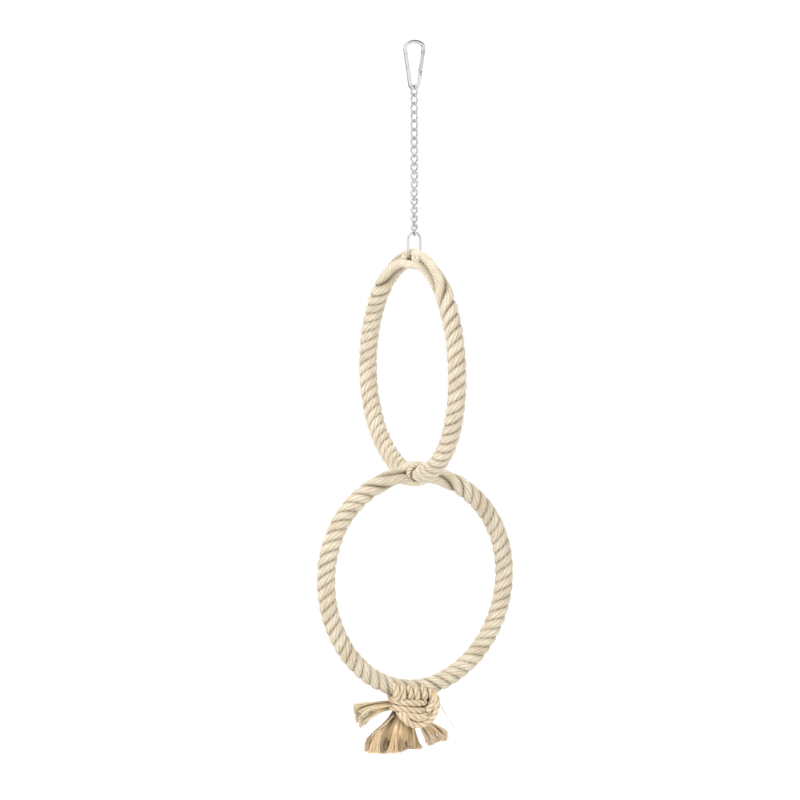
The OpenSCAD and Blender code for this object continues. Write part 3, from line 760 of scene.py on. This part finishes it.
# The painted groove shade is weaker where the lay runs slow and straight about the eye, and in the eye.
lower_rope = rolled(
    "lower_rope", rope_sisal, 32, ring_stations,
    strand_places(
        lower_centre, (0, 1, 0), lay_phase(np.maximum(0.95 * slow_eye, 0.25 * near_knot), lower_step), full * 1.08,
        [full * 0.92 * (1 - in_eye) + thin * in_eye for thin in eye_thick],
        [full * 1.06 * (1 - in_eye) + broad * in_eye for broad in eye_wide],
        count=3, yarns=8, closed=True, settled=eye_spots, share=in_eye,
        rope_radius=rope_size / 2 * (1 - 0.3 * in_eye), shade=1 - 0.6 * slow_eye,
    ), closed=True,
)
lip_radius = 7.4 * mm
lip_size = 2.1 * mm
lip_out = 3.9 * mm
lip_turn = np.arange(96) * 2 * pi / 96
lips = []
for lip_y in (-lip_out, lip_out):
    lip_x, lip_z = lip_radius * np.cos(lip_turn), crossing_z + lip_radius * np.sin(lip_turn)
    lip_path = np.stack([lip_x, lip_y + 0 * lip_turn, lip_z], 1)
    lips += strand_places(
        lip_path, (0, 1, 0), lip_turn * 5, lip_size * 0.5, [lip_size * 0.52] * 3, [lip_size * 0.52] * 3,
        count=3, yarns=4, closed=True, shallow=0.08, rope_radius=lip_size, twist=yarn_twist,
    )
# The lips take the paler sisal, which is painted light against the crevice's shade.
eye_lips = rolled("eye_lips", crossing_lightened_sisal, 12, 96, lips, closed=True)
lower_hairs = rope_hairs(
    "lower_rope_hairs", lower_centre, (0, 1, 0), lower_step, (crossing_z, lower_foot_z), hair_count, seed=22,
)
for piece in (lower_rope, eye_lips, lower_hairs):
    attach(piece, "lower_ring")
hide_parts("lower_rope_ring")


# Knot: the ends of the lower ring's rope, unlaid into cords, passed under the ring and bound round themselves.
# The bands are one cord, five strands are tucked round the ring above them, and five more cords fill the knot's
# right side and its foot, where the photograph shows them behind the loops.
strand_size = 5.2 * mm
inner_strand_size = 3.6 * mm
strand_radius = strand_size / 2
knot_gap = 0.3 * mm
strand_seat = rope_size / 2 + strand_radius + knot_gap
knot_x = -6 * mm
band_width = 35 * mm
band_depth = 24 * mm
band_turn = radians(545)
band_start = radians(190)
band_step = strand_size * 1.16
band_lean_share = 0.06
band_x = band_width / 2 - strand_radius
band_y = band_depth / 2 - strand_radius
band_top = -strand_seat * 0.86
band_foot = band_top - band_step * band_turn / 2 / pi - band_lean_share * band_x * cos(band_start + band_turn)
cord_lay = 17 * mm
cord_radius = strand_radius * 1.12
at_knot = np.array([0, 0, lower_foot_z])
cord_sisal = sisal_finish("cord_sisal", (0.71, 0.62, 0.485), (0.56, 0.445, 0.295), (0.38, 0.265, 0.13), 1.0, 0.2 * mm)
# The hearts' darker sisal is painted shade: these cores show only in the gaps between bands and between fibres.
heart_sisal = sisal_finish("heart_sisal", (0.62, 0.45, 0.24), (0.5, 0.34, 0.16), (0.28, 0.18, 0.075), 0.5, 0.3 * mm)


def cord_places(path, toward, radius=cord_radius, squeeze=1.0, start=0.0):
    """Places of three thin strands that are laid into a cord along a path."""
    length = np.concatenate([[0], np.cumsum(np.linalg.norm(np.diff(path, axis=0), axis=1))])
    size = radius * np.broadcast_to(squeeze, len(path))
    return strand_places(
        path, toward, start + length * 2 * pi / cord_lay, size * 0.5, [size * 0.5] * 3, [size * 0.6] * 3,
        count=3, yarns=4, closed=False, shallow=0.08, rope_radius=size * 1.04, twist=yarn_twist,
    )


def through(points, steps):
    """Even points on a smooth line through a few chosen ones, each given in millimetres from the knot."""
    points = np.array(points, dtype=float) * mm
    ends = np.concatenate([[2 * points[0] - points[1]], points, [2 * points[-1] - points[-2]]])
    at = np.linspace(0, len(points) - 1, steps + 1)
    low = np.minimum(at.astype(int), len(points) - 2)
    t = (at - low)[:, None]
    p0, p1, p2, p3 = (ends[low + k] for k in range(4))
    bend = (2 * p0 - 5 * p1 + 4 * p2 - p3) * t ** 2
    swing = (3 * p1 - p0 - 3 * p2 + p3) * t ** 3
    return at_knot + (2 * p1 + (p2 - p0) * t + bend + swing) / 2


lead = radians(32)
turn = np.linspace(-lead, band_turn, 197)
dropped = band_step * np.maximum(turn, 0) / 2 / pi - 5 * mm * (np.maximum(-turn, 0) / lead) ** 1.5
band_path = at_knot + np.stack([
    knot_x + (band_x + 0.3 * mm * np.sin(turn * 3.1)) * np.cos(band_start + turn),
    (band_y + 0.3 * mm * np.sin(turn * 2.3 + 1)) * np.sin(band_start + turn),
    band_top - dropped - band_lean_share * band_x * np.cos(band_start + turn) + 0.3 * mm * np.sin(turn * 2.7 + 2),
], 1)
bands = rolled("knot_bands", cord_sisal, 12, 196, cord_places(band_path, (0, 0, 1)))

tuck_turn = radians(112)
tucks = []
tuck_shares = (-0.36, -0.19, -0.02, 0.16, 0.34)
tuck_leans = (-2.4 * mm, -3.2 * mm, -1.9 * mm, -3 * mm, -2.2 * mm)
for number, (tuck_share, tuck_lean) in enumerate(zip(tuck_shares, tuck_leans)):
    share = np.linspace(0, 1, 49)
    held = ease(4 * np.minimum(share, 1 - share))
    angle = 1.5 * pi + tuck_turn * (2 * share - 1)
    reach = rope_size / 2 - 1.2 * mm + (knot_gap + 1.2 * mm + strand_radius) * held
    x = knot_x + tuck_share * band_width + tuck_lean * (1 - 2 * share)
    rise = ring_half_height * (1 - np.cos(np.arcsin(np.minimum(np.abs(x) / ring_half_width, 1))))
    tuck_path = at_knot + np.stack([x, reach * np.cos(angle), rise + reach * np.sin(angle)], 1)
    pulled = (0.72 + 0.28 * held) * (1.08 - 0.06 * (number % 3))
    tucks += cord_places(tuck_path, (1, 0, 0), squeeze=pulled, start=number)
for number, points in enumerate((
    [(14.5, 0, -3), (14.6, -1, -9), (12.5, -3, -15), (7, -5.5, -19.5)],
    [(9.5, -6.5, -1), (12.2, -8.2, -7), (11.4, -8.6, -13), (6, -10, -18.5)],
    [(12, 5, -3), (13, 4, -9), (11, 3, -16), (5, 2, -20)],
    [(-14, -7, -18.5), (-7, -10.4, -21), (1, -10.6, -22.4), (6, -9.5, -21.5)],
    [(-11, -4, -23), (-4, -6, -25.5), (3, -6.4, -26), (9, -4, -23)],
)):
    tucks += cord_places(through(points, 48), (0, 1, 0.1), start=number)
tuck = rolled("knot_tucks", cord_sisal, 12, 48, tucks)


def oval_place(path, toward, wide, deep, darkness):
    """Solid of oval sections along a path, under the fibres that show. Its darkness is painted shade in the gaps."""
    along, side, up = frames(path, toward, False)

    def place(i, a):
        ring = side[i] * (wide[i] * np.cos(a))[:, None] + up[i] * (deep[i] * np.sin(a))[:, None]
        return path[i] + ring, np.stack([wide[i] * np.cos(a), deep[i] * np.sin(a), path[i][:, 2]], 1), darkness + 0 * a

    return place


# The knot's heart is a dark core whose colour is painted shade in the gaps between the bands.
share = np.linspace(0, 1, 17)
bulge = np.sqrt(1 - (share - 0.5) ** 2 * 2) * np.clip(np.minimum(share, 1 - share) * 12 + 0.5, 0, 1)
core_top, core_foot = -rope_size * 0.3, band_foot - strand_radius
core_path = at_knot + np.stack([knot_x + 0 * share, 0 * share, core_top + (core_foot - core_top) * share], 1)
core = rolled("knot_heart", heart_sisal, 32, 16, [
    oval_place(core_path, (0, 1, 0), (band_x - strand_radius / 2) * bulge, (band_y - strand_radius / 2) * bulge, 0.3)
])
for piece in (bands, tuck, core):
    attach(piece, "lower_ring")
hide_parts("bottom_knot")


# Loops: a cord that hangs in an oval at the knot's right, and a thinner one that lies inside it.
# Both come out of the rope, and go back in under the bands.
def loop_path(x, z, wide, deep, out, foot_out, start, end, sink, steps):
    """Points round an oval loop in front of the knot, whose ends sink in by the given lengths."""
    a = np.radians(np.linspace(start, end, steps + 1))
    share = np.linspace(0, 1, steps + 1)
    front = out + (foot_out - out) * ease(-a / (pi / 2))
    front = front - sink[0] * (1 - ease(share * 6)) - sink[1] * (1 - ease((1 - share) * 6))
    return at_knot + np.stack([x + wide * np.cos(a), -front, z + deep * np.sin(a)], 1)


outer_path = loop_path(
    x=-0.9 * mm, z=-12 * mm, wide=16.2 * mm, deep=16.8 * mm, out=10 * mm, foot_out=9.4 * mm,
    start=46, end=-162, sink=(6 * mm, 4 * mm), steps=84,
)
outer_loop = rolled("outer_loop", cord_sisal, 12, 84, cord_places(outer_path, (0, 1, 0)))
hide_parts("knot_loop")
inner_path = loop_path(
    x=0.3 * mm, z=-12 * mm, wide=13.6 * mm, deep=11.8 * mm, out=5 * mm, foot_out=10.5 * mm,
    start=30, end=-128, sink=(2 * mm, 5 * mm), steps=50,
)
inner_loop = rolled("inner_loop", cord_sisal, 12, 50, cord_places(inner_path, (0, 1, 0), inner_strand_size * 0.62))
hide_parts("knot_inner_loop")
for piece in (outer_loop, inner_loop):
    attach(piece, "lower_ring")


# Tassels: the rope's three ends, cut and combed out into loose wavy fibres that fan from the knot.
# They are darker at their roots and in the middle of each fan, which is painted shade under the knot and between the
# locks, and each takes its own tone from how it was handled.
left_fray = sisal_finish("left_fray", (0.84, 0.73, 0.52), (0.62, 0.5, 0.3), (0.18, 0.12, 0.05), 1.0, 0.05 * mm)
middle_fray = sisal_finish("middle_fray", (0.92, 0.74, 0.49), (0.62, 0.42, 0.21), (0.1, 0.055, 0.02), 1.0, 0.05 * mm)
right_fray = sisal_finish("right_fray", (0.84, 0.69, 0.5), (0.6, 0.44, 0.27), (0.17, 0.11, 0.055), 1.0, 0.05 * mm)
tassel_neck = 4 * mm
tassel_width = 50 * mm
tassel_drop = 51 * mm
tassel_top = core_foot - knot_gap
side_reach = 29 * mm
side_fall = 5.6 * mm
side_wide = 10.5 * mm
side_deep = 6 * mm
right_reach = 15.5 * mm
right_drop = 21.5 * mm
right_start = 11.4 * mm
right_sink = 1.7 * mm
middle_deep = 7.5 * mm
fibre_radius = 0.26 * mm
fibre_steps = 12


def tassel(name, node, finish, start, steps, wide, deep, rows, locks, fibres, rounding, seed,
           root_shade=0.75, root_fade=2.2):
    """A fan of fibres in locks, over a darker heart whose colour is painted shade between the fibres. Rows hold how
    far it goes sideways, forwards and down, and its half sizes, each as a share. Rounding is how much shorter its
    locks are at either side. Root shade and root fade set the painted shade at the fibres' roots."""
    pick = random.Random(seed)
    rows = np.array(rows)
    even = np.linspace(0, len(rows) - 1, fibre_steps + 1)
    rows = np.stack([np.interp(even, range(len(rows)), column) for column in rows.T], 1)
    path = at_knot + np.array(start) + rows[:, :3] * np.array(steps)
    along, side, up = frames(path, (0, 1, 0), False)
    share = np.linspace(0, 1, fibre_steps + 1)
    places = []
    for lock in range(locks):
        lock_x = (2 * (lock + pick.uniform(0.1, 0.9)) / locks - 1) * 0.88
        lock_y = pick.uniform(-1, 1) * sqrt(1 - lock_x ** 2) * 0.85
        tone = pick.choice((-0.2, 0.05, 0.55)) + pick.uniform(0, 0.12)
        wave, phase = pick.uniform(0.6, 2) * mm, pick.uniform(0, 2 * pi)
        reach = pick.uniform(0.88, 1) * (1 - rounding[0] * max(0, -lock_x) - rounding[1] * max(0, lock_x))
        for _ in range(fibres):
            turn, near = pick.uniform(0, 2 * pi), 0.3 * sqrt(pick.uniform(0, 1))
            gather = 1 - 0.45 * np.sin(share * pi)
            x = lock_x + near * 0.6 * cos(turn) * gather
            y = lock_y + near * sin(turn) * gather
            end = reach * pick.uniform(0.9, 1)
            at = share * end * fibre_steps
            low = np.minimum(at.astype(int), fibre_steps - 1)
            part = (at - low)[:, None]
            spine = path[low] * (1 - part) + path[low + 1] * part
            half = rows[low, 3:] * (1 - part) + rows[low + 1, 3:] * part
            sway = share * np.sin(share * 5.5 + phase)
            stray = pick.uniform(-1, 1) * mm * share ** 2 * np.sin(share * 4 + turn)
            spots = spine + side[low] * (half[:, 0] * wide * x + wave * sway + stray)[:, None]
            spots = spots + up[low] * (half[:, 1] * deep * y + wave * 0.7 * sway + stray)[:, None]
            # Each lock's tone is its own. The extra dark at the roots and in the fan's middle is painted shade under
            # the knot and between the locks, and it lightens towards the tips.
            dark = tone + pick.uniform(-0.08, 0.12) + root_shade * (1 - ease(share * root_fade))
            dark = dark + 0.4 * max(0, 0.4 - abs(lock_y)) - 0.3 * share
            places.append(hair_place(spots, np.clip(dark, 0, 1), pick.uniform(0, 1), fibre_radius))
    piece = rolled(name, finish, 3, fibre_steps, places)
    heart_path, inset = path[:-4], 0.62
    closing = np.append(np.ones(len(heart_path) - 3), (0.85, 0.6, 0.2))
    heart_wide, heart_deep = rows[:-4, 3] * wide * inset * closing, rows[:-4, 4] * deep * inset * closing
    heart = rolled(name + "_heart", heart_sisal, 24, len(heart_path) - 1, [
        oval_place(heart_path, (0, 1, 0), heart_wide, heart_deep, 0.5)
    ])
    for part in (piece, heart):
        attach(part, "lower_ring")
    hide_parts(node)
    return piece


tassel("left_tassel", "tassel_left", left_fray, (knot_x - band_width / 2 - knot_gap, 0, band_top - tassel_neck),
       (-side_reach, -side_fall / 2, -side_fall), side_wide, side_deep, [
           [-0.2, 0, -0.1, 0.3, 0.5], [0.1, 0, 0.05, 0.42, 0.67], [0.4, 0.4, 0.3, 0.6, 0.8],
           [0.7, 0.7, 0.6, 0.83, 0.93], [0.95, 1, 0.93, 1, 1], [1.02, 1, 1, 1, 0.95],
       ], locks=20, fibres=28, rounding=(0, 0.04), seed=3)
tassel("middle_tassel", "tassel_middle", middle_fray, (knot_x - 2 * tassel_neck, 0, tassel_top),
       (-tassel_neck, -tassel_neck / 2, -tassel_drop - tassel_top), tassel_width * 0.54, middle_deep, [
           [-0.8, 0, -0.16, 0.26, 0.5], [-0.4, 0, 0.08, 0.44, 0.6], [-0.1, 0, 0.28, 0.62, 0.7],
           [0.6, 0.5, 0.59, 0.84, 0.87],
           [1, 1, 0.79, 0.98, 1], [1, 1, 0.95, 1.04, 0.95], [1, 1, 1.06, 1.06, 0.9],
       ], locks=32, fibres=46, rounding=(0.12, 0.38), seed=5, root_shade=0.9, root_fade=1.5)
tassel("right_tassel", "tassel_right", right_fray, (knot_x + right_start, 0, tassel_top - right_sink),
       (right_reach, 0, -right_drop), side_wide * 1.05, side_deep, [
           [-0.25, 0, -0.2, 0.32, 0.6], [0.16, 0, 0.25, 0.42, 0.8], [0.6, 0, 0.58, 0.66, 0.9], [1, 0, 0.93, 1, 1],
           [1.02, 0, 1.05, 1, 0.9],
       ], locks=18, fibres=26, rounding=(0.36, 0), seed=8)


# Loose ends: a lock that curls out between two tassels, and a few fibres that stray from the knot's right side.
def loose_lock(name, finish, points, count, spread, fibre, seed):
    """A few long fibres side by side along a line through chosen points."""
    pick = random.Random(seed)
    base = through(points, 20)
    share = np.linspace(0, 1, 21)[:, None]
    places = []
    for _ in range(count):
        aside_by = np.array([pick.uniform(-1, 1) for _ in range(3)]) * spread
        drift = np.array([pick.uniform(-1, 1) for _ in range(3)]) * spread * 1.5
        end = pick.uniform(0.88, 1)
        spots = base + aside_by * (0.5 + 0.5 * share) + drift * share ** 2 * end
        places.append(hair_place(spots, np.full(21, pick.uniform(0, 0.25)), pick.uniform(0, 1), fibre))
    piece = rolled(name, finish, 3, 20, places)
    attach(piece, "lower_ring")


loose_lock("curled_lock", right_fray, [
    (-20, -4, -20), (-27.7, -5, -26), (-35, -5, -31), (-40, -5, -35.4), (-39, -5, -38.6), (-34, -5, -39.4),
    (-30, -5, -38),
], count=15, spread=0.5 * mm, fibre=0.2 * mm, seed=31)
loose_lock("stray_fibres", right_fray, [
    (14, -8, -4), (18.5, -9, -12), (23, -9, -20), (28, -9, -28), (31.5, -9, -33),
], count=7, spread=0.5 * mm, fibre=0.13 * mm, seed=32)
